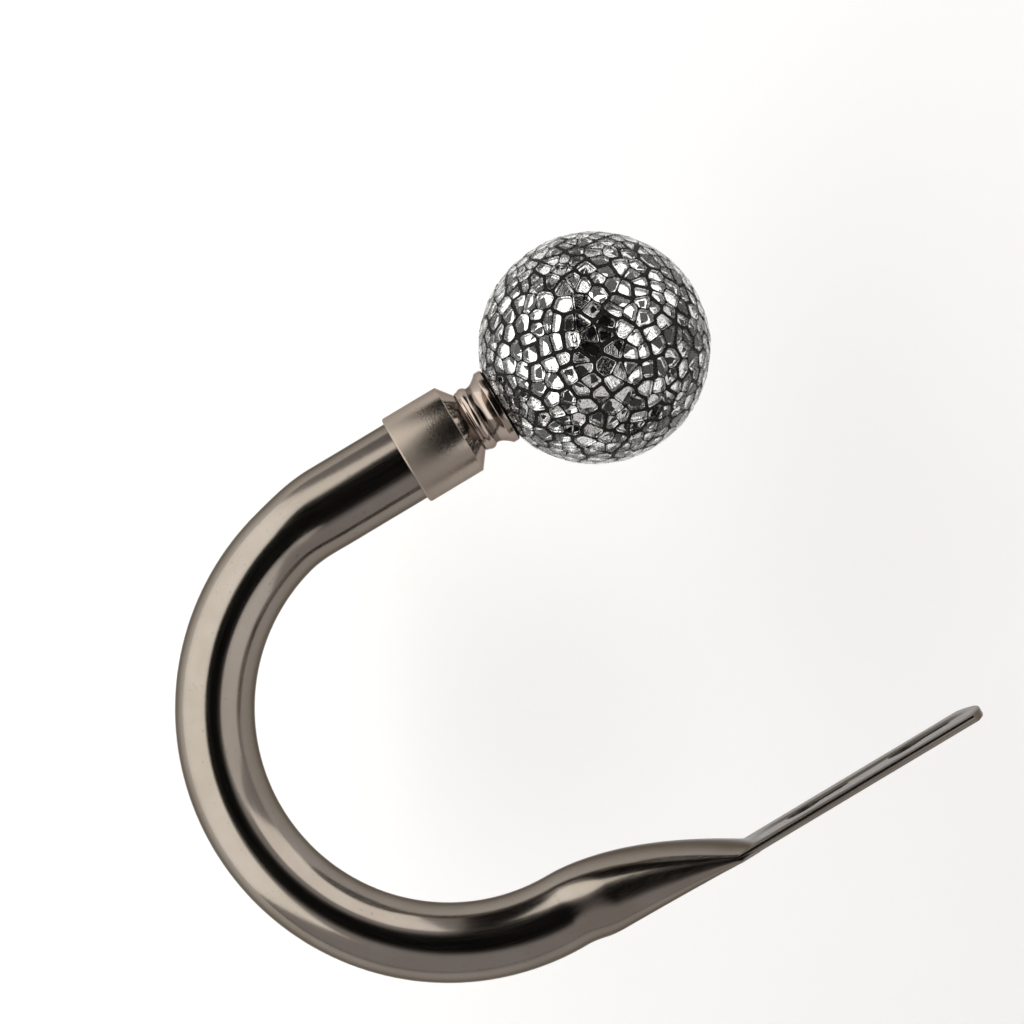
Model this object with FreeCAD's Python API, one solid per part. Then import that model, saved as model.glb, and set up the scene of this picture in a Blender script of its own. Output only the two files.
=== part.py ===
"""Curtain holdback: a bent tube on a flat wall tongue, with a mosaic ball on its free end.

Millimetres. The wall is the plane Y = 0 and the holdback stands out from it towards -Y. The U of the
tube lies flat in the plane Z = 0, open towards -X. The origin is on the tongue's back face, halfway
between the heads of its two keyholes.
"""
import FreeCAD, Part
import math
import os
import random

# Tube and its bend
TUBE_OD = 22.0
TUBE_WALL = 1.1
BEND_RADIUS = 60.0            # to the middle of the tube
BEND_WIDTH = 20.4             # the tube goes oval in the bend: its width in the plane of the U
OVAL_ANGLE = 14.0             # degrees of bend over which the round tube goes oval
LEG_SHOWN = 23.2              # straight tube between the bend and the collar

# Pressed wall end
TAPER_LENGTH = 49.5           # from the bend to the dome's foot on the tongue
FOLD_SETBACK = 5.0            # the folded side edges are flat this much before the dome's foot
TAPER_POWER = 1.75            # how late the taper drops: 1 is a straight wedge
WIDEN_POWER = 1.3
PRESS_DEPTH = 0.6             # how far the rounded underside is pressed flat on the wall plane
FOLD_LAP = 0.1                # the folds are this much proud of the tongue's sides where they end
FOLD_TUCK = 0.5               # and this much inside them at the dome's foot
FOLD_CREASE = 0.24            # how sharp the folds become: 0 is an ellipse
FOLD_FLATNESS = 2.0           # how square the underside becomes: 0 is an ellipse
PRESS_RUN = 10.0              # length over which the underside comes down to the wall
FOOT_TO_HEAD = 15.4           # from the dome's foot to the middle of the first keyhole head
HEAD_PITCH = 30.0
HEAD_DIAMETER = 10.0
SLOT_WIDTH = 4.5
SLOT_LENGTH = 10.8            # from the middle of the head to the middle of the slot's round end
TIP_MARGIN = 8.4              # from the second slot's end to the tip
TIP_SAGITTA = 3.9             # rise of the rounded tip between its corners

# Collar, measured along its axis from the open end
SOCKET_CLEARANCE = 0.15       # all round the tube
SOCKET_DEPTH = 13.5
TUBE_END_GAP = 0.2            # between the tube's end and the socket's floor
COLLAR_WALL = 1.2
COLLAR_LENGTH = 15.9          # cylindrical part
COLLAR_EDGE = 0.4
CONE_LENGTH = 3.2
NECK_RADIUS = 8.1
NECK_RING = 0.35              # height of the fine ring before the bead
NECK_RING_LENGTH = 0.9
BEAD_RISE = 0.75
BEAD_LENGTH = 2.4
GROOVE_LENGTH = 0.9
FLARE_LENGTH = 3.0
FLARE_HOLLOW = 0.36           # share of the flare's rise reached halfway: 0.5 is a straight cone
RIM_RADIUS = 10.25
RIM_LENGTH = 2.0
RIM_EDGE = 0.35

# Stud between collar and ball
STUD_DIAMETER = 6.0
STUD_CLEARANCE = 0.05         # all round, in both threaded holes
STUD_END_GAP = 0.3
STUD_IN_COLLAR = 11.0
STUD_IN_BALL = 14.0

# Mosaic ball
BALL_RADIUS = 30.0            # over the chips' corners
CHIP_THICKNESS = 0.8
CHIP_CORNER_RISE = 0.2        # how much higher a flat chip's corners stand than its middle
RIM_TO_CHIPS = 0.25
BOSS_SETBACK = 0.8            # the ball's boss is this much smaller in radius than the rim
SHARD_COUNT = 104             # large shards, with wide joints between them
CHIP_COUNT = 650              # chips that the shards are cracked into
SPREAD_JITTER = 0.37          # of the spacing of the shards or chips
GROUT_GAP = 0.95              # between two shards
CRACK_GAP = 0.34              # between two chips of one shard
SHORTEST_EDGE = 0.5
NEIGHBOUR_COUNT = 24          # a chip is bounded by about this many of the nearest ones
SMALLEST_CHIP = 3.0           # smaller splinters are left out
CHIP_TILT = 2.0               # degrees, at most
MOSAIC_SEED = 7

# The flattened tube keeps its wall and its girth
TONGUE_THICKNESS = 2 * TUBE_WALL
MID_GIRTH = math.pi * (TUBE_OD - TUBE_WALL)
TONGUE_WIDTH = TONGUE_THICKNESS + (MID_GIRTH - math.pi * TUBE_WALL) / 2
BEND_HEIGHT = 2 * TUBE_OD - BEND_WIDTH

# Distances along the legs from the end of the bend, and their places in the part's frame
FOLD_END = TAPER_LENGTH - FOLD_SETBACK
FIRST_HEAD = TAPER_LENGTH + FOOT_TO_HEAD
ORIGIN = FIRST_HEAD + HEAD_PITCH / 2
TIP = FIRST_HEAD + HEAD_PITCH + SLOT_LENGTH + SLOT_WIDTH / 2 + TIP_MARGIN
WALL_LEG_Y = -TUBE_OD / 2
BEND_Y = WALL_LEG_Y - BEND_RADIUS
FINIAL_Y = BEND_Y - BEND_RADIUS
COLLAR_X = ORIGIN - LEG_SHOWN
TUBE_END = LEG_SHOWN + SOCKET_DEPTH - TUBE_END_GAP

# Collar stations, from its open end
SOCKET_RADIUS = TUBE_OD / 2 + SOCKET_CLEARANCE
COLLAR_RADIUS = SOCKET_RADIUS + COLLAR_WALL
CONE_END = COLLAR_LENGTH + CONE_LENGTH
RING_END = CONE_END + NECK_RING_LENGTH
BEAD_END = RING_END + BEAD_LENGTH
GROOVE_END = BEAD_END + GROOVE_LENGTH
FLARE_END = GROOVE_END + FLARE_LENGTH
RIM_END = FLARE_END + RIM_LENGTH

# Ball places
RIM_TO_CENTRE = math.sqrt(BALL_RADIUS ** 2 - RIM_RADIUS ** 2)
BALL_X = COLLAR_X - RIM_END - RIM_TO_CENTRE
CHIP_TOP = BALL_RADIUS - CHIP_CORNER_RISE
CORE_RADIUS = CHIP_TOP - CHIP_THICKNESS

SECTION_POINTS = 12           # on each half of a tube section
OVAL_STATIONS = 4
FOLD_STATIONS = 8
FOOT_STATIONS = 2
CAVITY_STATIONS = 7
CAVITY_SETBACK = 6.0          # the two walls come together inside this much before the dome's foot
BEND_CENTRE = FreeCAD.Vector(ORIGIN, BEND_Y, 0)
BALL_CENTRE = FreeCAD.Vector(BALL_X, FINIAL_Y, 0)
FINIAL_AXIS = FreeCAD.Vector(1, 0, 0)
UP = FreeCAD.Vector(0, 0, 1)


def smooth_step(value):
    value = min(max(value, 0.0), 1.0)
    return value * value * (3 - 2 * value)


def section(place, inward, half_height, ridge, rise, drop, crease=0.0, flatness=0.0):
    """One closed section of the tube: the half towards the inside of the U, then the half away from it.

    The two halves meet at the side ridges. With no crease and no flatness each is half an ellipse.
    """
    power = 2 + flatness
    inner = []
    outer = []
    for step in range(SECTION_POINTS + 1):
        angle = math.pi * step / SECTION_POINTS
        side = UP * (half_height * math.cos(angle))
        arch = max(math.sin(angle), 0.0) ** (1 + crease)
        belly = max(1 - abs(math.cos(angle)) ** power, 0.0) ** (1 / power)
        inner.append(place + side + inward * (ridge + rise * arch))
        outer.append(place - side + inward * (ridge - drop * belly))
    spans = [step / SECTION_POINTS for step in range(SECTION_POINTS + 1)]
    edges = []
    for points in (inner, outer):
        curve = Part.BSplineCurve()
        curve.interpolate(Points=points, Parameters=spans)
        edges.append(curve.toShape())
    return Part.Wire(edges)


def tube_section(turn, inset):
    """Section of the tube after so many degrees of bend. It goes oval as it leaves the round leg."""
    oval = smooth_step(turn / OVAL_ANGLE)
    half_width = (TUBE_OD + (BEND_WIDTH - TUBE_OD) * oval) / 2 - inset
    half_height = (TUBE_OD + (BEND_HEIGHT - TUBE_OD) * oval) / 2 - inset
    angle = math.radians(turn)
    inward = FreeCAD.Vector(-math.sin(angle), math.cos(angle), 0)
    place = BEND_CENTRE - inward * BEND_RADIUS
    return section(place, inward, half_height, 0, half_width, half_width)


def taper_section(along, inset):
    """Section of the duck-bill: the top drops, the sides fold outwards, the underside comes down flat."""
    fold = min(along / FOLD_END, 1.0)
    tuck = max(along - FOLD_END, 0.0) / FOLD_SETBACK
    first_top = TUBE_OD / 2 + BEND_WIDTH / 2
    top = first_top + (TONGUE_THICKNESS - first_top) * (along / TAPER_LENGTH) ** TAPER_POWER
    ridge = TUBE_OD / 2 + (TONGUE_THICKNESS / 2 - TUBE_OD / 2) * fold ** TAPER_POWER
    last_half = TONGUE_WIDTH / 2 + FOLD_LAP
    half_height = BEND_HEIGHT / 2 + (last_half - BEND_HEIGHT / 2) * fold ** WIDEN_POWER
    half_height -= (FOLD_LAP + FOLD_TUCK) * tuck
    first_under = BEND_WIDTH / 2 - TUBE_OD / 2
    under = first_under + (PRESS_DEPTH - first_under) * smooth_step(along / PRESS_RUN)
    return section(
        FreeCAD.Vector(ORIGIN - along, 0, 0), FreeCAD.Vector(0, -1, 0), half_height - inset, ridge,
        top - ridge - inset, ridge + under - inset, FOLD_CREASE * fold ** 2, FOLD_FLATNESS * fold)


def tube_skin(inset, taper_stations):
    """The tube grown from one set of sections: round leg, start of the bend, oval bend and taper."""
    leg = Part.Face(tube_section(0, inset)).extrude(FreeCAD.Vector(-TUBE_END, 0, 0))
    turns = [OVAL_ANGLE * step / OVAL_STATIONS for step in range(OVAL_STATIONS + 1)]
    going_oval = Part.makeLoft([tube_section(turn, inset) for turn in turns], True, False)
    oval_face = Part.Face(tube_section(OVAL_ANGLE, inset))
    bend = oval_face.revolve(BEND_CENTRE, UP, 180 - OVAL_ANGLE)
    taper = Part.makeLoft([taper_section(along, inset) for along in taper_stations], True, False)
    return leg.fuse([going_oval, bend, taper])


def keyhole(head_along):
    """Cutter for one keyhole: the round head is nearer the bend, its slot points to the tip."""
    depth = FreeCAD.Vector(0, -1, 0)
    reach = 3 * TONGUE_THICKNESS
    head = FreeCAD.Vector(ORIGIN - head_along, TONGUE_THICKNESS, 0)
    slot_end = head - FreeCAD.Vector(SLOT_LENGTH, 0, 0)
    slot_corner = slot_end + FreeCAD.Vector(0, -reach, -SLOT_WIDTH / 2)
    slot = Part.makeBox(SLOT_LENGTH, reach, SLOT_WIDTH, slot_corner)
    slot_round = Part.makeCylinder(SLOT_WIDTH / 2, reach, slot_end, depth)
    return Part.makeCylinder(HEAD_DIAMETER / 2, reach, head, depth).fuse([slot, slot_round])


def tongue():
    """The flattened tube: two walls thick, with folded round sides and a tip cut to an arc."""
    half_width = TONGUE_WIDTH / 2
    round_side = TONGUE_THICKNESS / 2
    start_x = ORIGIN - FOLD_END
    near = half_width - round_side
    corners = [FreeCAD.Vector(start_x, y, z) for y, z in (
        (0, -near), (0, near), (-TONGUE_THICKNESS, near), (-TONGUE_THICKNESS, -near))]
    section_edges = [
        Part.LineSegment(corners[0], corners[1]),
        Part.Arc(corners[1], FreeCAD.Vector(start_x, -round_side, half_width), corners[2]),
        Part.LineSegment(corners[2], corners[3]),
        Part.Arc(corners[3], FreeCAD.Vector(start_x, -round_side, -half_width), corners[0])]
    profile = Part.Face(Part.Wire([edge.toShape() for edge in section_edges]))
    bar = profile.extrude(FreeCAD.Vector(-(TIP - FOLD_END), 0, 0))
    corner_x = ORIGIN - TIP + TIP_SAGITTA
    plan = [FreeCAD.Vector(x, 0, z) for x, z in (
        (start_x, -half_width), (corner_x, -half_width), (corner_x, half_width), (start_x, half_width))]
    plan_edges = [
        Part.LineSegment(plan[0], plan[1]),
        Part.Arc(plan[1], FreeCAD.Vector(ORIGIN - TIP, 0, 0), plan[2]),
        Part.LineSegment(plan[2], plan[3]),
        Part.LineSegment(plan[3], plan[0])]
    outline = Part.Face(Part.Wire([edge.toShape() for edge in plan_edges]))
    return bar.common(outline.extrude(FreeCAD.Vector(0, -TONGUE_THICKNESS, 0)))


def arm_tube():
    folding = [FOLD_END * step / FOLD_STATIONS for step in range(FOLD_STATIONS)]
    footing = [FOLD_END + FOLD_SETBACK * step / FOOT_STATIONS for step in range(FOOT_STATIONS + 1)]
    cavity_end = TAPER_LENGTH - CAVITY_SETBACK
    closing = [cavity_end * step / CAVITY_STATIONS for step in range(CAVITY_STATIONS + 1)]
    behind_wall = Part.makeBox(
        2 * TIP, TUBE_OD, 2 * TONGUE_WIDTH, FreeCAD.Vector(-TIP, 0, -TONGUE_WIDTH))
    arm = tube_skin(0, folding + footing).cut(behind_wall).fuse(tongue())
    arm = arm.cut(tube_skin(TUBE_WALL, closing))
    for head_along in (FIRST_HEAD, FIRST_HEAD + HEAD_PITCH):
        arm = arm.cut(keyhole(head_along))
    return arm.removeSplitter()


def line(*points):
    return [Part.LineSegment(a, b).toShape() for a, b in zip(points, points[1:])]


def spun(edges):
    """A solid turned about the finial's axis from one closed outline."""
    outline = Part.Face(Part.Wire(edges))
    return outline.revolve(BALL_CENTRE, FINIAL_AXIS, 360)


def finial_collar():
    """Cast and turned: socket, cone, fine ring, bead, groove and flared rim."""
    def at(along, radius):
        return FreeCAD.Vector(COLLAR_X - along, FINIAL_Y + radius, 0)

    ring_radius = NECK_RADIUS + NECK_RING
    bead_foot = NECK_RADIUS + NECK_RING / 2
    hole_radius = STUD_DIAMETER / 2 + STUD_CLEARANCE
    hole_floor = RIM_END - STUD_IN_COLLAR - STUD_END_GAP
    flare_middle = NECK_RADIUS + (RIM_RADIUS - NECK_RADIUS) * FLARE_HOLLOW
    edges = line(
        at(SOCKET_DEPTH, 0), at(SOCKET_DEPTH, SOCKET_RADIUS), at(0, SOCKET_RADIUS),
        at(0, COLLAR_RADIUS - COLLAR_EDGE), at(COLLAR_EDGE, COLLAR_RADIUS),
        at(COLLAR_LENGTH, COLLAR_RADIUS), at(CONE_END, NECK_RADIUS),
        at(CONE_END + NECK_RING, ring_radius), at(RING_END, ring_radius))
    edges.append(Part.Arc(
        at(RING_END, ring_radius), at((RING_END + BEAD_END) / 2, NECK_RADIUS + BEAD_RISE),
        at(BEAD_END, bead_foot)).toShape())
    edges += line(at(BEAD_END, bead_foot), at(BEAD_END, NECK_RADIUS), at(GROOVE_END, NECK_RADIUS))
    edges.append(Part.Arc(
        at(GROOVE_END, NECK_RADIUS), at((GROOVE_END + FLARE_END) / 2, flare_middle),
        at(FLARE_END, RIM_RADIUS)).toShape())
    edges += line(
        at(FLARE_END, RIM_RADIUS), at(RIM_END - RIM_EDGE, RIM_RADIUS), at(RIM_END, RIM_RADIUS - RIM_EDGE),
        at(RIM_END, hole_radius), at(hole_floor, hole_radius), at(hole_floor, 0), at(SOCKET_DEPTH, 0))
    return spun(edges)


def finial_stud():
    start = BALL_CENTRE + FINIAL_AXIS * (RIM_TO_CENTRE - STUD_IN_BALL)
    return Part.makeCylinder(STUD_DIAMETER / 2, STUD_IN_BALL + STUD_IN_COLLAR, start, FINIAL_AXIS)


def ball_core():
    """A ball with a boss that stands on the collar's rim, drilled for the stud."""
    def at(along, radius):
        return BALL_CENTRE + FreeCAD.Vector(along, radius, 0)

    boss_radius = RIM_RADIUS - BOSS_SETBACK
    boss_foot = math.sqrt(CORE_RADIUS ** 2 - boss_radius ** 2)
    hole_radius = STUD_DIAMETER / 2 + STUD_CLEARANCE
    hole_floor = RIM_TO_CENTRE - STUD_IN_BALL - STUD_END_GAP
    edges = [Part.Arc(at(-CORE_RADIUS, 0), at(0, CORE_RADIUS), at(boss_foot, boss_radius)).toShape()]
    edges += line(
        at(boss_foot, boss_radius), at(RIM_TO_CENTRE, boss_radius), at(RIM_TO_CENTRE, hole_radius),
        at(hole_floor, hole_radius), at(hole_floor, 0), at(-CORE_RADIUS, 0))
    return spun(edges)


def clip(polygon, normal, limit):
    """Keeps the side of a flat polygon where normal . point is at most limit."""
    kept = []
    for here, after in zip(polygon, polygon[1:] + polygon[:1]):
        here_over = here[0] * normal[0] + here[1] * normal[1] - limit
        after_over = after[0] * normal[0] + after[1] * normal[1] - limit
        if here_over <= 0:
            kept.append(here)
        if here_over * after_over < 0:
            share = here_over / (here_over - after_over)
            kept.append((here[0] + share * (after[0] - here[0]), here[1] + share * (after[1] - here[1])))
    return kept


def area_of(polygon):
    pairs = zip(polygon, polygon[1:] + polygon[:1])
    return abs(sum(a[0] * b[1] - b[0] * a[1] for a, b in pairs)) / 2


def without_short_edges(polygon):
    """Drops each corner that lies very close to the next one."""
    pairs = zip(polygon, polygon[1:] + polygon[:1])
    return [here for here, after in pairs if math.dist(here, after) > SHORTEST_EDGE]


def spread_directions(count, chance):
    """Evenly spread directions from the ball's centre, each moved a little at random."""
    golden_angle = math.pi * (3 - math.sqrt(5))
    spacing = math.sqrt(4 * math.pi / count)
    directions = []
    for number in range(count):
        height = 1 - 2 * (number + 0.5) / count
        ring = math.sqrt(1 - height * height)
        turn = golden_angle * number
        direction = FreeCAD.Vector(ring * math.cos(turn), ring * math.sin(turn), height)
        shake = FreeCAD.Vector(chance.uniform(-1, 1), chance.uniform(-1, 1), chance.uniform(-1, 1))
        directions.append((direction + shake * (SPREAD_JITTER * spacing)).normalize())
    return directions


def chip_solid(corners, chance):
    """A flat-faced chip with sides towards the ball's centre. Its top is tilted a little."""
    middle = FreeCAD.Vector(0, 0, 0)
    for corner in corners:
        middle += corner
    middle.normalize()
    sway = math.tan(math.radians(CHIP_TILT))
    lean = FreeCAD.Vector(chance.uniform(-1, 1), chance.uniform(-1, 1), chance.uniform(-1, 1)) * sway
    face = (middle + lean).normalize()
    wires = []
    for normal, level in ((middle, CORE_RADIUS), (face, CHIP_TOP)):
        ring = [BALL_CENTRE + corner * (level / corner.dot(normal)) for corner in corners]
        wires.append(Part.makePolygon(ring + ring[:1]))
    return Part.makeLoft(wires, True, True)


def mosaic_chips():
    """Chips round the whole ball, close together in one shard, and none under the collar's rim."""
    chance = random.Random(MOSAIC_SEED)
    shards = spread_directions(SHARD_COUNT, chance)
    directions = spread_directions(CHIP_COUNT, chance)
    owners = []
    for direction in directions:
        owners.append(max(range(SHARD_COUNT), key=lambda number: shards[number].dot(direction)))
    near = 2 * NEIGHBOUR_COUNT / CHIP_COUNT
    reach = BALL_RADIUS
    chips = []
    for direction, owner in zip(directions, owners):
        across = UP if abs(direction.z) < abs(direction.x) else FINIAL_AXIS
        right = direction.cross(across).normalize()
        front = right.cross(direction)
        chip = [(-reach, -reach), (reach, -reach), (reach, reach), (-reach, reach)]
        for neighbour, neighbour_owner in zip(directions, owners):
            apart = neighbour - direction
            if neighbour is not direction and -apart.dot(direction) < near:
                gap = CRACK_GAP if neighbour_owner == owner else GROUT_GAP
                normal = (apart.dot(right), apart.dot(front))
                level = -CHIP_TOP * apart.dot(direction) - math.hypot(*normal) * gap / 2
                chip = clip(chip, normal, level)
        rim_level = RIM_TO_CENTRE - RIM_TO_CHIPS - CHIP_TOP * direction.dot(FINIAL_AXIS)
        chip = clip(chip, (right.dot(FINIAL_AXIS), front.dot(FINIAL_AXIS)), rim_level)
        chip = without_short_edges(chip)
        if len(chip) > 2 and area_of(chip) > SMALLEST_CHIP:
            corners = [(direction * CHIP_TOP + right * x + front * y).normalize() for x, y in chip]
            chips.append(chip_solid(corners, chance))
    return Part.makeCompound(chips)


os.makedirs("parts", exist_ok=True)
for make in (arm_tube, finial_collar, finial_stud, ball_core, mosaic_chips):
    make().exportStep("parts/" + make.__name__ + ".step")
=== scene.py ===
# Curtain holdback: a bent black-nickel tube on a pressed wall tongue, with a collar that carries a
# ball of broken mirror glass. Metres. The wall is the plane Y = 0 and the U lies flat in Z = 0.
import math
import random
import bmesh
import bpy
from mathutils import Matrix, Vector


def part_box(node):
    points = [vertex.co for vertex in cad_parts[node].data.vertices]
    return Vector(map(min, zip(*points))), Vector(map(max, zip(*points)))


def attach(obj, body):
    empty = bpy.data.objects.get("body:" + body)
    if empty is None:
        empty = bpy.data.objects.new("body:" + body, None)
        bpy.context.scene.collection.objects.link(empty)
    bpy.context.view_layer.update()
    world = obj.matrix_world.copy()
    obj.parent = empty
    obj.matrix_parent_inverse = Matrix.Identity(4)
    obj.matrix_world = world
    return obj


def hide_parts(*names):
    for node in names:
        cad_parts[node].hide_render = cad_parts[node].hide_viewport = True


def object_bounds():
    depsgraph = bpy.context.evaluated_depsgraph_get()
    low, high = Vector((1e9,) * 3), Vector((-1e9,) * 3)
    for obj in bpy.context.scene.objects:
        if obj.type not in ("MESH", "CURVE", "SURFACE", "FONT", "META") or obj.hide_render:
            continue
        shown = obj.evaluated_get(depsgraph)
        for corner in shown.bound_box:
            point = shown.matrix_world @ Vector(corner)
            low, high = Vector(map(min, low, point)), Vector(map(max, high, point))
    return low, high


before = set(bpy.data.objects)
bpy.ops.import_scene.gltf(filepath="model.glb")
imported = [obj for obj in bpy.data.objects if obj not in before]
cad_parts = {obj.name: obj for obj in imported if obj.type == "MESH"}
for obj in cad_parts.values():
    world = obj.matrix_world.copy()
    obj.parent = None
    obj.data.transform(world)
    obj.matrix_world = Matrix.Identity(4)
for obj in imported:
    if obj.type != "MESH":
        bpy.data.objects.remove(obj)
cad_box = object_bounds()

MM = 0.001

# Arm tube. One steel tube, drawn, bent to a U and plated in polished black nickel. Its wall end is
# pressed flat in a die, so the round tube runs out in a duck-bill dome and a two-wall tongue with
# two punched keyholes. The other end is glued into the collar's socket.
arm_low, arm_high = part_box("arm_tube")
collar_low, collar_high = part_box("finial_collar")

TUBE_RADIUS = 11 * MM
BEND_RADIUS = 60 * MM
BEND_WIDTH = 20.4 * MM
OVAL_ANGLE = math.radians(14)
TUBE_IN_COLLAR = 13.3 * MM
TAPER_LENGTH = 49.5 * MM
FOLD_END = 44.5 * MM
TAPER_POWER = 1.75
WIDEN_POWER = 1.3
SHOULDER_SHARE = 0.12
SHOULDER_RUN = 12 * MM
FOLD_CREASE = 0.24
FOLD_FLATNESS = 2.0
FOLD_LAP = 0.1 * MM
FOLD_TUCK = 0.6 * MM
PRESS_DEPTH = 0.6 * MM
PRESS_RUN = 10 * MM
TUBE_SIDES = 96
BEND_STEPS = 90
TAPER_STEPS = 66
TONGUE_THICKNESS = 2.2 * MM
EDGE_CREST = 1.8 * MM
EDGE_RUN = 2.6 * MM
TONGUE_HALF_WIDTH = arm_high.z - FOLD_LAP
TIP_SAGITTA = 3.9 * MM
HEAD_RADIUS = 5 * MM
HEAD_PITCH = 30 * MM
SLOT_RADIUS = 2.25 * MM
SLOT_LENGTH = 10.8 * MM
PUNCH_EDGE = 0.22 * MM
ARC_STEPS = 24

BEND_HEIGHT = 4 * TUBE_RADIUS - BEND_WIDTH
bend_x = arm_high.x - BEND_RADIUS - BEND_WIDTH / 2
bend_y = -TUBE_RADIUS - BEND_RADIUS
finial_y = bend_y - BEND_RADIUS
tube_end_x = collar_high.x - TUBE_IN_COLLAR


def edit(piece):
    """Leaves all other objects alone and opens one mesh for editing, with all of it selected."""
    bpy.ops.object.select_all(action="DESELECT")
    piece.select_set(True)
    bpy.context.view_layer.objects.active = piece
    bpy.ops.object.mode_set(mode="EDIT")
    bpy.ops.mesh.select_mode(type="VERT")
    bpy.ops.mesh.select_all(action="SELECT")


def close_edit():
    bpy.ops.object.mode_set(mode="OBJECT")


def pick(piece, part, test):
    """Selects those faces or edges of the open mesh that pass a test, and nothing else."""
    mode = {"faces": "FACE", "edges": "EDGE", "verts": "VERT"}[part]
    bpy.ops.mesh.select_mode(type=mode)
    bpy.ops.mesh.select_all(action="DESELECT")
    open_mesh = bmesh.from_edit_mesh(piece.data)
    for element in getattr(open_mesh, part):
        element.select_set(test(element))
    open_mesh.select_flush_mode()
    bmesh.update_edit_mesh(piece.data)


def clear_slivers(piece):
    """Cuts a finished mesh into triangles and takes out those with no width."""
    edit(piece)
    for round_number in range(2):
        bpy.ops.mesh.quads_convert_to_tris(quad_method="BEAUTY", ngon_method="BEAUTY")
        bpy.ops.mesh.dissolve_degenerate(threshold=0.0005 * MM)
    close_edit()


def combine(piece, tool, operation):
    """Cuts, joins or trims a piece with another one, which is used up."""
    bpy.ops.object.select_all(action="DESELECT")
    bpy.context.view_layer.objects.active = piece
    bpy.ops.object.modifier_add(type="BOOLEAN")
    cut = piece.modifiers[-1]
    cut.operation = operation
    cut.solver = "MANIFOLD"
    cut.object = tool
    bpy.ops.object.modifier_apply(modifier=cut.name)
    bpy.data.objects.remove(tool)


def prism(name, outline, reach):
    """A flat outline drawn out to a solid."""
    mesh = bpy.data.meshes.new(name)
    mesh.from_pydata(outline, [], [range(len(outline))])
    piece = bpy.data.objects.new(name, mesh)
    bpy.context.scene.collection.objects.link(piece)
    edit(piece)
    bpy.ops.mesh.extrude_region_move(TRANSFORM_OT_translate={"value": reach})
    bpy.ops.mesh.select_all(action="SELECT")
    bpy.ops.mesh.normals_make_consistent(inside=False)
    close_edit()
    return piece


def smooth_step(value):
    value = min(max(value, 0.0), 1.0)
    return value * value * (3 - 2 * value)


def section_point(angle, half_height, ridge, rise, drop, crease=0.0, flatness=0.0):
    """Height above the leg's wall side and offset along Z of one point of a tube section."""
    side = math.cos(angle)
    if math.sin(angle) >= 0:
        return ridge + rise * math.sin(angle) ** (1 + crease), half_height * side
    power = 2 + flatness
    belly = max(1 - abs(side) ** power, 0.0) ** (1 / power)
    return ridge - drop * belly, half_height * side


def taper_point(along, angle):
    """The same for the duck-bill: its top drops, its sides fold out and its underside comes down."""
    fold = min(along / FOLD_END, 1.0)
    tuck = max(along - FOLD_END, 0.0) / (TAPER_LENGTH - FOLD_END)
    first_top = TUBE_RADIUS + BEND_WIDTH / 2
    top = first_top + (TONGUE_THICKNESS - first_top) * (along / TAPER_LENGTH) ** TAPER_POWER
    ridge = TUBE_RADIUS + (TONGUE_THICKNESS / 2 - TUBE_RADIUS) * fold ** TAPER_POWER
    widest = TONGUE_HALF_WIDTH + FOLD_LAP
    shoulder = smooth_step(along / SHOULDER_RUN)
    widened = (1 - SHOULDER_SHARE) * fold ** WIDEN_POWER + SHOULDER_SHARE * shoulder
    half_height = BEND_HEIGHT / 2 + (widest - BEND_HEIGHT / 2) * widened - FOLD_TUCK * tuck
    first_under = BEND_WIDTH / 2 - TUBE_RADIUS
    under = first_under + (PRESS_DEPTH - first_under) * smooth_step(along / PRESS_RUN)
    return section_point(angle, half_height, ridge, top - ridge, ridge + under,
                         FOLD_CREASE * fold ** 2, FOLD_FLATNESS * fold)


def fold_edge(angle):
    """Height above the wall and half width of a point of the tongue's edge, which leans to the wall."""
    depth = EDGE_CREST if angle < 0 else TONGUE_THICKNESS - EDGE_CREST
    run = EDGE_RUN if angle < 0 else depth
    return EDGE_CREST + depth * math.sin(angle), TONGUE_HALF_WIDTH - run + run * math.cos(angle)


bpy.ops.object.select_all(action="DESELECT")
bpy.ops.mesh.primitive_circle_add(
    vertices=TUBE_SIDES, radius=TUBE_RADIUS, fill_type="NGON", location=(tube_end_x, finial_y, 0),
    rotation=(0, math.pi / 2, 0))
arm = bpy.context.object
arm.name = "black_nickel_arm"
bpy.ops.object.transform_apply(location=True, rotation=True, scale=True)
edit(arm)
bpy.ops.mesh.extrude_region_move(TRANSFORM_OT_translate={"value": (bend_x - tube_end_x, 0, 0)})
bpy.ops.mesh.spin(
    steps=BEND_STEPS, angle=math.pi, center=(bend_x, bend_y, 0), axis=(0, 0, -1), use_auto_merge=False)
for step in range(TAPER_STEPS):
    bpy.ops.mesh.extrude_region_move(TRANSFORM_OT_translate={"value": (-TAPER_LENGTH / TAPER_STEPS, 0, 0)})
bpy.ops.mesh.select_all(action="SELECT")
bpy.ops.mesh.remove_doubles(threshold=0.001 * MM)
bpy.ops.mesh.normals_make_consistent(inside=False)
close_edit()

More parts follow.
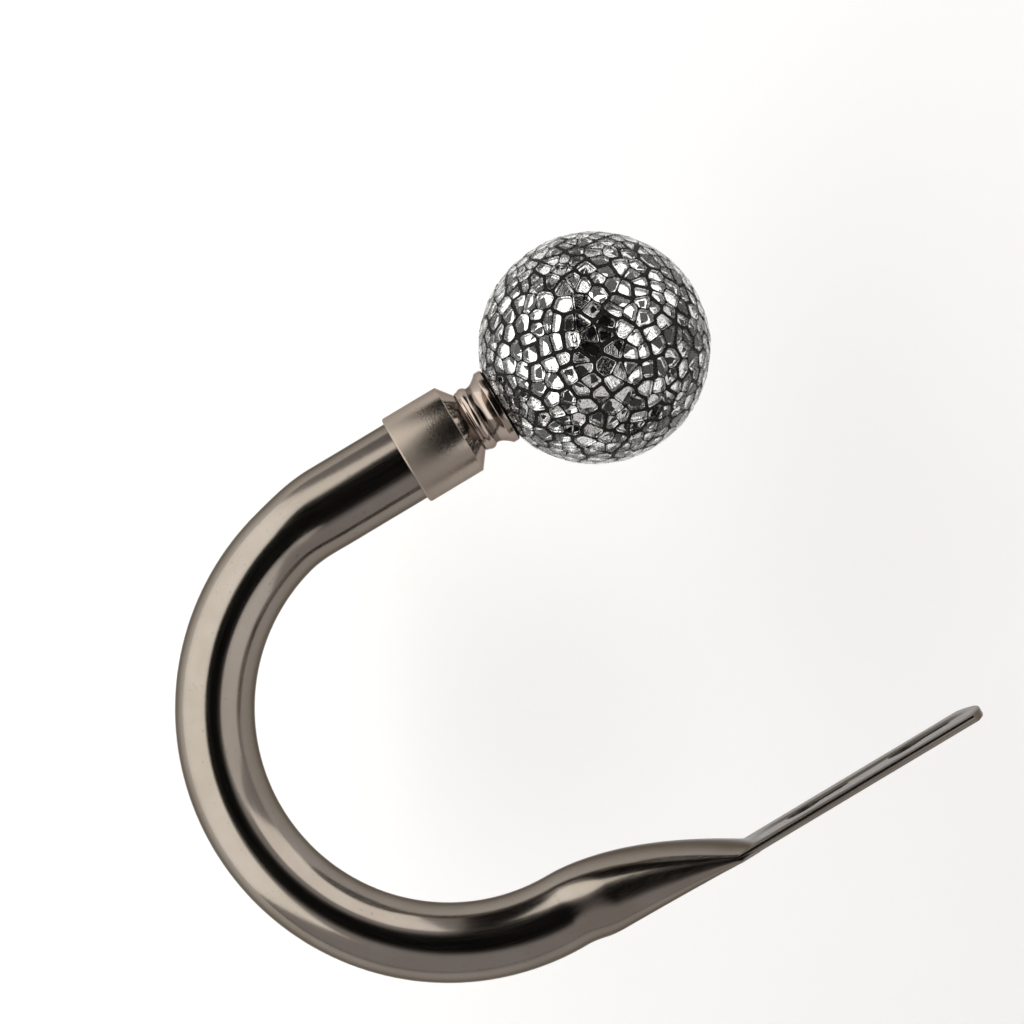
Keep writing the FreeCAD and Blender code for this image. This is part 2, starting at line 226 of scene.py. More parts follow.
for vertex in arm.data.vertices:
    place = vertex.co
    if place.y > bend_y and place.x < bend_x - 0.01 * MM:
        angle = math.atan2(-place.y - TUBE_RADIUS, place.z)
        height, side = taper_point(bend_x - place.x, angle)
        vertex.co = (place.x, -height, side)
    elif place.x > bend_x - 0.01 * MM:
        out = Vector((place.x - bend_x, place.y - bend_y, 0))
        turn = math.atan2(max(out.x, 0.0), -out.y)
        oval = smooth_step(turn / OVAL_ANGLE)
        across = out.length - BEND_RADIUS
        across *= 1 + (BEND_WIDTH / 2 / TUBE_RADIUS - 1) * oval
        height = place.z * (1 + (BEND_HEIGHT / 2 / TUBE_RADIUS - 1) * oval)
        out.normalize()
        vertex.co = Vector((bend_x, bend_y, height)) + out * (BEND_RADIUS + across)
edit(arm)
bpy.ops.mesh.bisect(
    plane_co=(0, 0, 0), plane_no=(0, 1, 0), clear_outer=True, use_fill=True, threshold=0.0001 * MM)
close_edit()

tongue_start = bend_x - FOLD_END
side_profile = []
for side in (1, -1):
    for step in range(ARC_STEPS + 1):
        height, width = fold_edge(side * math.pi * (step / ARC_STEPS - 0.5))
        side_profile.append((tongue_start, -height, side * width))
tongue = prism("tongue", side_profile, (arm_low.x - tongue_start, 0, 0))

half_width = TONGUE_HALF_WIDTH
tip_radius = (half_width ** 2 + TIP_SAGITTA ** 2) / (2 * TIP_SAGITTA)
tip_reach = math.asin(half_width / tip_radius)
plan = [(tongue_start + MM, MM, -2 * half_width), (tongue_start + MM, MM, 2 * half_width)]
plan.append((arm_low.x + TIP_SAGITTA, MM, 2 * half_width))
for step in range(ARC_STEPS + 1):
    angle = tip_reach * (1 - 2 * step / ARC_STEPS)
    plan.append((arm_low.x + tip_radius * (1 - math.cos(angle)), MM, tip_radius * math.sin(angle)))
plan.append((arm_low.x + TIP_SAGITTA, MM, -2 * half_width))
combine(tongue, prism("tip_shear", plan, (0, -4 * MM, 0)), "INTERSECT")
combine(arm, tongue, "UNION")

for head_x in (HEAD_PITCH / 2, -HEAD_PITCH / 2):
    neck = math.asin(SLOT_RADIUS / HEAD_RADIUS)
    keyhole = []
    for step in range(2 * ARC_STEPS + 1):
        angle = math.pi + neck + (2 * math.pi - 2 * neck) * step / (2 * ARC_STEPS)
        keyhole.append((head_x + HEAD_RADIUS * math.cos(angle), MM, HEAD_RADIUS * math.sin(angle)))
    for step in range(ARC_STEPS + 1):
        angle = math.pi / 2 + math.pi * step / ARC_STEPS
        keyhole.append((
            head_x - SLOT_LENGTH + SLOT_RADIUS * math.cos(angle), MM, SLOT_RADIUS * math.sin(angle)))
    combine(arm, prism("keyhole_punch", keyhole, (0, -5 * MM, 0)), "DIFFERENCE")


def on_punched_rim(edge):
    """True for an edge of a keyhole's rim or of the cut tip."""
    flat = all(abs(v.co.y) < 0.01 * MM or abs(v.co.y + TONGUE_THICKNESS) < 0.01 * MM for v in edge.verts)
    square = len(edge.link_faces) == 2 and edge.calc_face_angle() > math.radians(80)
    return flat and square and edge.verts[0].co.x < HEAD_PITCH


edit(arm)
pick(arm, "edges", on_punched_rim)
bpy.ops.mesh.bevel(offset=PUNCH_EDGE, segments=2, affect="EDGES")
close_edit()
clear_slivers(arm)
bpy.ops.object.shade_smooth_by_angle(angle=math.radians(32))


def add_node(tree, kind, inputs=None, **settings):
    """One shader node with its settings, and its inputs set to values or linked to other nodes."""
    made = tree.nodes.new(kind)
    for name, value in settings.items():
        setattr(made, name, value)
    for socket, value in (inputs or {}).items():
        if isinstance(value, bpy.types.NodeSocket):
            tree.links.new(value, made.inputs[socket])
        else:
            made.inputs[socket].default_value = value
    return made


def new_material(name):
    material = bpy.data.materials.new(name)
    material.use_nodes = True
    shader = material.node_tree.nodes["Principled BSDF"]
    return material, material.node_tree, shader


def dress(piece, *materials):
    piece.data.materials.clear()
    for material in materials:
        piece.data.materials.append(material)


def calculate(tree, operation, first, second=0.0):
    return add_node(tree, "ShaderNodeMath", {0: first, 1: second}, operation=operation).outputs[0]


def remap(tree, value, low, high, to_low=0.0, to_high=1.0):
    """Eases a value that runs from low to high into the range from to_low to to_high."""
    made = add_node(
        tree, "ShaderNodeMapRange", {"Value": value, "From Min": low, "From Max": high, "To Min": to_low, "To Max": to_high},
        interpolation_type="SMOOTHSTEP")
    return made.outputs["Result"]


def blend(tree, share, first, second):
    made = add_node(tree, "ShaderNodeMix", {"Factor": share, "A": first, "B": second}, data_type="RGBA")
    return made.outputs["Result"]


def noise(tree, place, scale, detail=2.0, roughness=0.5):
    inputs = {"Vector": place, "Scale": scale, "Detail": detail, "Roughness": roughness}
    return add_node(tree, "ShaderNodeTexNoise", inputs).outputs["Fac"]


def new_group(name, inputs, outputs):
    """An empty group of shader nodes with number sockets, and its two end nodes."""
    group = bpy.data.node_groups.new(name, "ShaderNodeTree")
    for direction, sockets in (("INPUT", inputs), ("OUTPUT", outputs)):
        for socket in sockets:
            group.interface.new_socket(socket, in_out=direction, socket_type="NodeSocketFloat")
    return group, group.nodes.new("NodeGroupInput"), group.nodes.new("NodeGroupOutput")


def feed(tree, node, **sockets):
    for name, value in sockets.items():
        tree.links.new(value, node.inputs[name.replace("_", " ")])


surface_wear, group_in, group_out = new_group("surface_wear", ["Grain Scale"], ["Grain", "Cloud", "Specks"])
here = add_node(surface_wear, "ShaderNodeTexCoord").outputs["Object"]
grain = noise(surface_wear, here, group_in.outputs["Grain Scale"], 3.0, 0.6)
cloud = noise(surface_wear, here, 45.0, 3.0, 0.55)
specks = remap(surface_wear, noise(surface_wear, here, 1500.0, 1.0), 0.7, 0.76)
feed(surface_wear, group_out, Grain=grain, Cloud=cloud, Specks=specks)


def wear(tree, grain_scale):
    made = add_node(tree, "ShaderNodeGroup", node_tree=surface_wear)
    made.inputs["Grain Scale"].default_value = grain_scale
    return made.outputs


black_nickel, tree, shader = new_material("black_nickel")
NICKEL_COLOUR = (0.25, 0.224, 0.198, 1)
NICKEL_SHADE = (0.225, 0.197, 0.171, 1)
SPECK_COLOUR = (0.09, 0.075, 0.066, 1)
LINE_SCALE = 2400.0
LINE_STRETCH = 0.02
LINE_DEPTH = 0.0008 * MM
TUBE_WAVE = 0.05 * MM
here = add_node(tree, "ShaderNodeTexCoord").outputs["Object"]
place = add_node(tree, "ShaderNodeSeparateXYZ", {"Vector": here}).outputs
ahead = calculate(tree, "MAXIMUM", calculate(tree, "SUBTRACT", place["X"], bend_x))
behind = calculate(tree, "MAXIMUM", calculate(tree, "SUBTRACT", bend_x, place["X"]))
beside = calculate(tree, "SUBTRACT", place["Y"], bend_y)
flat_place = add_node(tree, "ShaderNodeCombineXYZ", {"X": ahead, "Y": beside})
radial = add_node(tree, "ShaderNodeVectorMath", {0: flat_place.outputs[0]}, operation="LENGTH").outputs["Value"]
bend_path = calculate(tree, "MULTIPLY", calculate(tree, "ARCTAN2", beside, ahead), BEND_RADIUS)
leg_path = calculate(tree, "MULTIPLY", calculate(tree, "SIGN", beside), behind)
path = calculate(tree, "MULTIPLY", calculate(tree, "ADD", bend_path, leg_path), LINE_STRETCH)
line_place = add_node(tree, "ShaderNodeCombineXYZ", {"X": radial, "Y": place["Z"], "Z": path}).outputs[0]
lines = noise(tree, line_place, LINE_SCALE, 3.0, 0.7)
worn = wear(tree, 700.0)
colour = blend(tree, remap(tree, worn["Cloud"], 0.35, 0.65), NICKEL_COLOUR, NICKEL_SHADE)
colour = blend(tree, calculate(tree, "MULTIPLY", worn["Specks"], 0.5), colour, SPECK_COLOUR)
gloss = calculate(tree, "ADD", remap(tree, lines, 0.3, 0.75, 0.13, 0.19), calculate(tree, "MULTIPLY", worn["Specks"], 0.06))
height = calculate(tree, "ADD", calculate(tree, "MULTIPLY", lines, LINE_DEPTH), calculate(tree, "MULTIPLY", worn["Cloud"], TUBE_WAVE))
bump = add_node(tree, "ShaderNodeBump", {"Strength": 1.0, "Distance": 1.0, "Height": height})
feed(tree, shader, Base_Color=colour, Roughness=gloss, Normal=bump.outputs[0])
shader.inputs["Metallic"].default_value = 1
shader.inputs["Specular Tint"].default_value = (0.34, 0.325, 0.31, 1)

# Painted shade: the walls and rim bevels of the keyholes get a near-black metal, which stands in for the shade
# inside the punched holes.
keyhole_painted_shade, tree, shader = new_material("keyhole_painted_shade")
KEYHOLE_SHADE_COLOUR = (0.05, 0.045, 0.041, 1)
KEYHOLE_SHADE_DEEPER = (0.03, 0.027, 0.025, 1)
worn = wear(tree, 1500.0)
colour = blend(tree, remap(tree, worn["Grain"], 0.35, 0.65), KEYHOLE_SHADE_COLOUR, KEYHOLE_SHADE_DEEPER)
feed(tree, shader, Base_Color=colour, Roughness=remap(tree, worn["Grain"], 0.3, 0.7, 0.4, 0.55))
shader.inputs["Metallic"].default_value = 1
dress(arm, black_nickel, keyhole_painted_shade)
# The faces of the keyhole walls and rims take the painted shade.
for face in arm.data.polygons:
    place = face.center
    between_faces = 0.02 * MM < -place.y < TONGUE_THICKNESS - 0.02 * MM
    if between_faces and abs(place.x) < HEAD_PITCH and abs(place.z) < HEAD_RADIUS + 2 * PUNCH_EDGE:
        face.material_index = 1
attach(arm, "root")
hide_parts("arm_tube")

# Finial collar. One zinc die casting, turned on its front, with a satin black-nickel plating on the
# socket and a brighter one on the cone, fine ring, bead, groove and flare. The tube is glued into it.
axis_y = (collar_low.y + collar_high.y) / 2
COLLAR_RADIUS = collar_high.z
SOCKET_RADIUS = 11.15 * MM
SOCKET_DEPTH = 13.5 * MM
COLLAR_LENGTH = 15.9 * MM
CONE_LENGTH = 3.2 * MM
NECK_RADIUS = 8.1 * MM
NECK_RING = 0.35 * MM
RING_LENGTH = 0.9 * MM
BEAD_LENGTH = 2.4 * MM
BEAD_RISE = 0.75 * MM
GROOVE_LENGTH = 0.9 * MM
FLARE_LENGTH = 3.0 * MM
FLARE_HOLLOW = 0.36
RIM_RADIUS = 10.25 * MM
RIM_END = collar_high.x - collar_low.x
STUD_HOLE_RADIUS = 3.05 * MM
STUD_HOLE_FLOOR = RIM_END - 11.3 * MM
COLLAR_EDGE = 0.4 * MM
TURNED_EDGE = 0.16 * MM
TURN_STEPS = 128


def arc_through(start, middle, end, steps):
    """Points of a parabolic arc from start through middle to end, without its start."""
    points = []
    for step in range(1, steps + 1):
        share = step / steps
        bow = 4 * share * (1 - share)
        rise = middle - (start + end) / 2
        points.append(start + (end - start) * share + rise * bow)
    return points


def turned(name, outline):
    """A solid turned about the finial's axis. The outline gives places along X and radii."""
    bpy.ops.object.select_all(action="DESELECT")
    first = outline[0]
    bpy.ops.mesh.primitive_plane_add(location=(first[0], axis_y + first[1], 0))
    piece = bpy.context.object
    piece.name = name
    bpy.ops.object.transform_apply(location=True, rotation=True, scale=True)
    edit(piece)
    bpy.ops.mesh.merge(type="CENTER")
    for here, after in zip(outline, outline[1:]):
        bpy.ops.mesh.extrude_vertices_move(
            TRANSFORM_OT_translate={"value": (after[0] - here[0], after[1] - here[1], 0)})
    bpy.ops.mesh.select_all(action="SELECT")
    bpy.ops.mesh.spin(
        steps=TURN_STEPS, angle=2 * math.pi, center=(first[0], axis_y, 0), axis=(1, 0, 0),
        use_auto_merge=False)
    bpy.ops.mesh.select_all(action="SELECT")
    bpy.ops.mesh.remove_doubles(threshold=0.005 * MM)
    bpy.ops.mesh.normals_make_consistent(inside=False)
    close_edit()
    return piece


def at(along, radius):
    return Vector((collar_high.x - along, radius))


cone_end = COLLAR_LENGTH + CONE_LENGTH
ring_end = cone_end + RING_LENGTH
bead_end = ring_end + BEAD_LENGTH
groove_end = bead_end + GROOVE_LENGTH
flare_end = groove_end + FLARE_LENGTH
ring_top = NECK_RADIUS + NECK_RING
bead_foot = NECK_RADIUS + NECK_RING / 2
flare_middle = NECK_RADIUS + (RIM_RADIUS - NECK_RADIUS) * FLARE_HOLLOW
outline = [
    at(SOCKET_DEPTH, 0), at(SOCKET_DEPTH, SOCKET_RADIUS), at(0, SOCKET_RADIUS), at(0, COLLAR_RADIUS - COLLAR_EDGE),
    at(COLLAR_EDGE, COLLAR_RADIUS), at(COLLAR_LENGTH, COLLAR_RADIUS), at(cone_end, NECK_RADIUS),
    at(cone_end + NECK_RING, ring_top), at(ring_end, ring_top)]
outline += arc_through(
    at(ring_end, ring_top), at((ring_end + bead_end) / 2, NECK_RADIUS + BEAD_RISE), at(bead_end, bead_foot), 12)
outline += [at(bead_end, NECK_RADIUS), at(groove_end, NECK_RADIUS)]
outline += arc_through(
    at(groove_end, NECK_RADIUS), at((groove_end + flare_end) / 2, flare_middle), at(flare_end, RIM_RADIUS), 12)
outline += [
    at(RIM_END - COLLAR_EDGE, RIM_RADIUS), at(RIM_END, RIM_RADIUS - COLLAR_EDGE), at(RIM_END, STUD_HOLE_RADIUS),
    at(STUD_HOLE_FLOOR, STUD_HOLE_RADIUS), at(STUD_HOLE_FLOOR, 0)]
collar = turned("satin_collar", outline)
bpy.ops.object.modifier_add(type="BEVEL")
collar.modifiers[-1].width = TURNED_EDGE
collar.modifiers[-1].segments = 3
collar.modifiers[-1].limit_method = "ANGLE"
collar.modifiers[-1].angle_limit = math.radians(20)
bpy.ops.object.modifier_apply(modifier=collar.modifiers[-1].name)
clear_slivers(collar)
bpy.ops.object.shade_smooth_by_angle(angle=math.radians(40))

satin_nickel, tree, shader = new_material("satin_nickel")
SATIN_COLOUR = (0.335, 0.288, 0.247, 1)
POLISHED_COLOUR = (0.33, 0.275, 0.24, 1)
PAINTED_SHADE_AND_SPECK_COLOUR = (0.11, 0.09, 0.078, 1)
PEEL_DEPTH = 0.026 * MM
here = add_node(tree, "ShaderNodeTexCoord").outputs["Object"]
place = add_node(tree, "ShaderNodeSeparateXYZ", {"Vector": here}).outputs
front_start = collar_high.x - COLLAR_LENGTH
satin = remap(tree, place["X"], front_start - 0.6 * MM, front_start + 0.2 * MM)
from_axis = add_node(
    tree, "ShaderNodeCombineXYZ", {"X": calculate(tree, "SUBTRACT", place["Y"], axis_y), "Y": place["Z"]}).outputs[0]
radius = add_node(tree, "ShaderNodeVectorMath", {0: from_axis}, operation="LENGTH").outputs["Value"]
# Painted shade: the collar is darkened where its radius comes near the neck's, in the groove and at the feet of the
# cone, ring, bead and flare, in place of the shade that falls there.
groove_shade = remap(tree, radius, NECK_RADIUS + 0.35 * MM, NECK_RADIUS + 0.02 * MM)
worn = wear(tree, 1900.0)
colour = blend(tree, satin, POLISHED_COLOUR, SATIN_COLOUR)
colour = blend(tree, calculate(tree, "MULTIPLY", groove_shade, 0.8), colour, PAINTED_SHADE_AND_SPECK_COLOUR)
# The same dark colour also marks real specks over the whole collar.
colour = blend(tree, calculate(tree, "MULTIPLY", worn["Specks"], 0.2), colour, PAINTED_SHADE_AND_SPECK_COLOUR)
open_end = remap(tree, place["X"], front_start, collar_high.x)
gloss = calculate(tree, "ADD", remap(tree, satin, 0.0, 1.0, 0.11, 0.17), calculate(tree, "MULTIPLY", open_end, 0.22))
gloss = calculate(tree, "ADD", gloss, remap(tree, worn["Grain"], 0.3, 0.7, 0.0, 0.06))
height = calculate(tree, "MULTIPLY", calculate(tree, "MULTIPLY", worn["Grain"], satin), PEEL_DEPTH)
bump = add_node(tree, "ShaderNodeBump", {"Strength": 1.0, "Distance": 1.0, "Height": height})
feed(tree, shader, Base_Color=colour, Roughness=gloss, Normal=bump.outputs[0])
shader.inputs["Metallic"].default_value = 1
shader.inputs["Specular Tint"].default_value = (0.5, 0.47, 0.45, 1)
dress(collar, satin_nickel)
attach(collar, "root")
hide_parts("finial_collar")

# Finial stud. A plain zinc-plated threaded stud, screwed into the collar's front and the ball's boss.
# It is out of sight in the finished finial, so its solid stays as it is.
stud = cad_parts["finial_stud"]
plain_steel, tree, shader = new_material("plain_steel")
worn = wear(tree, 1200.0)
colour = blend(tree, remap(tree, worn["Grain"], 0.3, 0.7), (0.5, 0.5, 0.49, 1), (0.6, 0.6, 0.6, 1))
feed(tree, shader, Base_Color=colour, Roughness=remap(tree, worn["Cloud"], 0.3, 0.7, 0.28, 0.42))
shader.inputs["Metallic"].default_value = 1
dress(stud, plain_steel)

# Grout ball. A moulded ball skimmed with black tile grout, which is wiped almost flush with the glass,
# so each chip sits in a pocket of its own. Its boss stands on the collar's rim.
core_low, core_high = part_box("ball_core")
BALL_RADIUS = 30 * MM
GROUT_RADIUS = 29.6 * MM
BOSS_RADIUS = 9.45 * MM
BALL_ARC_STEPS = 64
CORE_RADIUS = core_high.z
ball = Vector((core_low.x + CORE_RADIUS, axis_y, 0))
rim_place = collar_low.x - ball.x
boss_angle = math.asin(BOSS_RADIUS / GROUT_RADIUS)
outline = []
for step in range(BALL_ARC_STEPS + 1):
    angle = math.pi - (math.pi - boss_angle) * step / BALL_ARC_STEPS
    outline.append(Vector((ball.x + GROUT_RADIUS * math.cos(angle), GROUT_RADIUS * math.sin(angle))))
STUD_IN_BALL = 14.3 * MM
outline += [
    Vector((ball.x + rim_place, BOSS_RADIUS)), Vector((ball.x + rim_place, STUD_HOLE_RADIUS)),
    Vector((ball.x + rim_place - STUD_IN_BALL, STUD_HOLE_RADIUS)), Vector((ball.x + rim_place - STUD_IN_BALL, 0))]
grout = turned("grout_ball", outline)

# Mosaic chips. Mirror glass broken by hand: each chip has a flat polished face, rough slanting edges
# and silvering on its back, and is pressed into the wet grout.
WALL_DROP = 0.4 * MM
BACK_DROP = 0.45 * MM
BACK_SLOPES = (0.04 * MM, 0.12 * MM, 0.26 * MM)
RIM_CHAMFER = 0.07 * MM
CORNER_SHARE = 20
POCKET_CLEARANCE = 0.02 * MM
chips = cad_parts["mosaic_chips"].copy()
chips.data = chips.data.copy()
chips.name = "mirror_chips"
for key in list(chips.keys()):
    del chips[key]
chips.parent = None
bpy.context.scene.collection.objects.link(chips)
edit(chips)
bpy.ops.mesh.remove_doubles(threshold=0.001 * MM)
bpy.ops.mesh.dissolve_limited(angle_limit=math.radians(0.5))


def is_corner(edge):
    """True for an upright edge between two walls of a chip."""
    upright = (edge.verts[0].co - edge.verts[1].co).normalized()
    return abs(upright.dot((edge.verts[0].co - ball).normalized())) > 0.9


pick(chips, "edges", is_corner)
bpy.ops.mesh.bevel(offset_type="PERCENT", offset_pct=CORNER_SHARE, segments=2, affect="EDGES")


def facing(face):
    """1 for a face that looks away from the ball's middle, -1 for a back, near 0 for an edge wall."""
    return face.normal.dot((face.calc_center_median() - ball).normalized())


def is_back(face):
    return facing(face) < -0.9


pick(chips, "faces", is_back)
bpy.ops.mesh.inset(thickness=0.05 * MM, depth=WALL_DROP, use_individual=True)
chance = random.Random(11)
open_mesh = bmesh.from_edit_mesh(chips.data)
slopes = {face.calc_center_median().to_tuple(6): chance.choice(BACK_SLOPES) for face in open_mesh.faces}
for slope in BACK_SLOPES:
    pick(chips, "faces", lambda face: is_back(face) and slopes.get(
        face.calc_center_median().to_tuple(6)) == slope)
    bpy.ops.mesh.inset(thickness=slope, depth=BACK_DROP, use_individual=True)
pick(chips, "verts", lambda vert: (vert.co - ball).length < CORE_RADIUS - 0.1 * MM)
bpy.ops.transform.vertex_random(offset=0.2 * MM, uniform=0.5, normal=0.0, seed=5)
close_edit()

pockets = chips.copy()
pockets.data = chips.data.copy()
bpy.context.scene.collection.objects.link(pockets)
edit(pockets)
bpy.ops.transform.shrink_fatten(value=POCKET_CLEARANCE)
close_edit()
combine(grout, pockets, "DIFFERENCE")
clear_slivers(grout)
bpy.ops.object.shade_smooth_by_angle(angle=math.radians(30))

black_grout, tree, shader = new_material("black_grout")
GROUT_COLOUR = (0.006, 0.005, 0.005, 1)
GROUT_DUST = (0.014, 0.012, 0.011, 1)
GROUT_PORES = 0.01 * MM
worn = wear(tree, 2600.0)
colour = blend(tree, remap(tree, worn["Grain"], 0.35, 0.7), GROUT_COLOUR, GROUT_DUST)
height = calculate(tree, "MULTIPLY", worn["Grain"], GROUT_PORES)
bump = add_node(tree, "ShaderNodeBump", {"Strength": 1.0, "Distance": 1.0, "Height": height})
feed(tree, shader, Base_Color=colour, Roughness=remap(tree, worn["Cloud"], 0.3, 0.7, 0.45, 0.65), Normal=bump.outputs[0])
shader.inputs["Specular IOR Level"].default_value = 0.12
dress(grout, black_grout)
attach(grout, "root")
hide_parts("ball_core")

edit(chips)
pick(chips, "faces", lambda face: facing(face) > 0.9)
open_mesh = bmesh.from_edit_mesh(chips.data)
rims = {edge.index for face in open_mesh.faces if face.select for edge in face.edges}
pick(chips, "edges", lambda edge: edge.index in rims)
bpy.ops.mesh.bevel(offset=RIM_CHAMFER, segments=1, affect="EDGES")
close_edit()

edit(chips)
open_mesh = bmesh.from_edit_mesh(chips.data)
plan_layer = open_mesh.loops.layers.uv.new("chip_plan")
tone_layer = open_mesh.faces.layers.float.new("chip_tone")
seen = set()
for first_face in open_mesh.faces:
    if first_face in seen:
        continue
    seen.add(first_face)
    solid = [first_face]
    for face in solid:
        for neighbour in [other for edge in face.edges for other in edge.link_faces]:
            if neighbour not in seen:
                seen.add(neighbour)
                solid.append(neighbour)
    outward = (first_face.calc_center_median() - ball).normalized()
    streak_angle = chance.uniform(0, math.pi)
    across = outward.orthogonal().normalized()
    beside = outward.cross(across)
    streak = across * math.cos(streak_angle) + beside * math.sin(streak_angle)
    crosswise = outward.cross(streak)
    shift = Vector((chance.uniform(0, 50), chance.uniform(0, 50)))
    tone = chance.random()
    for face in solid:
        face[tone_layer] = tone
        for loop in face.loops:
            offset = loop.vert.co - ball
            loop[plan_layer].uv = Vector((offset.dot(streak), offset.dot(crosswise))) / MM + shift
bmesh.update_edit_mesh(chips.data)
close_edit()

chip_streaks, group_in, group_out = new_group("chip_streaks", ["Stretch"], ["Streaks", "Lines", "Mottle", "Tone"])
plan = add_node(chip_streaks, "ShaderNodeUVMap", uv_map="chip_plan").outputs["UV"]
plan_parts = add_node(chip_streaks, "ShaderNodeSeparateXYZ", {"Vector": plan}).outputs
along = calculate(chip_streaks, "MULTIPLY", plan_parts["X"], group_in.outputs["Stretch"])
streak_place = add_node(chip_streaks, "ShaderNodeCombineXYZ", {"X": along, "Y": plan_parts["Y"]}).outputs[0]
streaks = noise(chip_streaks, streak_place, 1.5, 3.0, 0.6)
lines = noise(chip_streaks, streak_place, 4.5, 2.0, 0.5)
mottle = noise(chip_streaks, plan, 2.2, 4.0, 0.7)
tone = add_node(chip_streaks, "ShaderNodeAttribute", attribute_name="chip_tone").outputs["Fac"]
feed(chip_streaks, group_out, Streaks=streaks, Lines=lines, Mottle=mottle, Tone=tone)


def streaked(tree, stretch):
    made = add_node(tree, "ShaderNodeGroup", node_tree=chip_streaks)
    made.inputs["Stretch"].default_value = stretch
    return made.outputs


clear_glass, tree, shader = new_material("clear_glass")
GLASS_WAVE = 0.012 * MM
look = streaked(tree, 0.35)
colour = blend(tree, look["Tone"], (0.96, 0.975, 0.97, 1), (1, 1, 1, 1))
height = calculate(tree, "MULTIPLY", look["Streaks"], GLASS_WAVE)
bump = add_node(tree, "ShaderNodeBump", {"Strength": 1.0, "Distance": 1.0, "Height": height})
feed(tree, shader, Base_Color=colour, Roughness=remap(tree, look["Mottle"], 0.5, 0.8, 0.0, 0.06), Normal=bump.outputs[0])
shader.inputs["Transmission Weight"].default_value = 1
shader.inputs["IOR"].default_value = 1.5

silvering, tree, shader = new_material("silvering")
SILVER_COLOUR = (0.95, 0.955, 0.955, 1)
PAINTED_DARK_REFLECTION = (0.045, 0.046, 0.048, 1)
SILVER_WAVE = 0.075 * MM
look = streaked(tree, 0.22)
# Painted reflection: patches, some whole chips by their tone, and thin lines are painted near black into the
# silvering's colour. They stand in for dark reflections in the chips.
patches = calculate(tree, "ADD", calculate(tree, "MULTIPLY", look["Streaks"], 0.6), calculate(tree, "MULTIPLY", look["Mottle"], 0.4))
patches = calculate(tree, "ADD", patches, remap(tree, look["Tone"], 0.0, 1.0, -0.09, 0.05))
colour = blend(tree, remap(tree, patches, 0.56, 0.72), SILVER_COLOUR, PAINTED_DARK_REFLECTION)
painted_dark_lines = calculate(tree, "MULTIPLY", remap(tree, look["Lines"], 0.53, 0.63), 0.6)
colour = blend(tree, painted_dark_lines, colour, PAINTED_DARK_REFLECTION)
height = calculate(tree, "MULTIPLY", look["Streaks"], SILVER_WAVE)
bump = add_node(tree, "ShaderNodeBump", {"Strength": 1.0, "Distance": 1.0, "Height": height})
feed(tree, shader, Base_Color=colour, Roughness=remap(tree, look["Mottle"], 0.3, 0.7, 0.03, 0.16), Normal=bump.outputs[0])
shader.inputs["Metallic"].default_value = 1

broken_edge, tree, shader = new_material("broken_edge")
look = streaked(tree, 1.0)
colour = blend(tree, remap(tree, look["Mottle"], 0.36, 0.52), (0.12, 0.12, 0.122, 1), (0.93, 0.935, 0.935, 1))
feed(tree, shader, Base_Color=colour, Roughness=remap(tree, look["Streaks"], 0.3, 0.7, 0.12, 0.4))
shader.inputs["Metallic"].default_value = 1
dress(chips, clear_glass, silvering, broken_edge)
for face in chips.data.polygons:
    outward = face.normal.dot((face.center - ball).normalized())
    depth = (face.center - ball).length
    face.use_smooth = False
    face.material_index = 0 if outward > 0.3 and depth > CORE_RADIUS + 0.4 * MM else 1 if outward < -0.9 else 2
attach(chips, "root")
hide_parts("mosaic_chips")

# Studio. A plain white floor under the ball, a pale surround that is dark overhead, and two large
# soft panels, as in a product shot from above.
IMAGE_RIGHT = Vector((-0.858, 0.513, 0))
IMAGE_UP = Vector((-0.513, -0.858, 0))
CAMERA_PLACE = Vector((37.2, -67.6, 718.6)) * MM
CAMERA_AIM = Vector((40.07, -105.6, 0)) * MM
FOCAL_LENGTH = 98.4
FLOOR_SIZE = 6.0
FLOOR_DROP = 0.07
DARK_AZIMUTH = 118
DARK_ALONG = -2
DARK_LENGTH = 42
DARK_ACROSS = 3
DARK_WIDTH = 23.5
WEDGE_AZIMUTH = 110
WEDGE_WIDTH = 10
WEDGE_EDGE = 4
DARK_COLOUR = (0.004, 0.004, 0.004, 1)
SURROUND_COLOUR = (0.6, 0.572, 0.567, 1)
floor_z = cad_box[0][2] - FLOOR_DROP
bpy.ops.object.select_all(action="DESELECT")
bpy.ops.mesh.primitive_plane_add(size=FLOOR_SIZE, location=(0, 0, floor_z))
floor = bpy.context.object
floor.name = "floor"
bpy.ops.object.transform_apply(location=True, rotation=True, scale=True)
white_floor, tree, shader = new_material("white_floor")
shader.inputs["Base Color"].default_value = (0.94, 0.945, 0.96, 1)
shader.inputs["Roughness"].default_value = 0.9
shader.inputs["Specular IOR Level"].default_value = 0.0
dress(floor, white_floor)


def towards(azimuth, zenith):
    """A direction given by its angle in the picture, from the right, and its angle from straight up."""
    level = IMAGE_RIGHT * math.cos(math.radians(azimuth)) + IMAGE_UP * math.sin(math.radians(azimuth))
    tilt = math.radians(zenith)
    return level * math.sin(tilt) + Vector((0, 0, 1)) * math.cos(tilt)


def soft_panel(name, azimuth, zenith, distance, width, height, radiance, tint):
    lamp = bpy.data.lights.new(name, "AREA")
    lamp.shape = "RECTANGLE"
    lamp.size = width
    lamp.size_y = height
    lamp.energy = radiance * 4 * width * height
    lamp.color = tint
    panel = bpy.data.objects.new(name, lamp)
    bpy.context.scene.collection.objects.link(panel)
    direction = towards(azimuth, zenith)
    panel.location = CAMERA_AIM + direction * distance
    panel.rotation_euler = direction.to_track_quat("Z", "Y").to_euler()
    panel.visible_camera = False
    return panel


soft_panel("left_panel", 180, 68, 0.5, 1.15, 0.9, 1.45, (0.99, 0.99, 0.93))
soft_panel("right_panel", 60, 66, 1.4, 1.45, 1.45, 1.3, (1.0, 0.98, 0.94))
soft_panel("side_panel", -14, 56, 1.4, 1.4, 1.4, 0.62, (1.0, 0.985, 0.96))

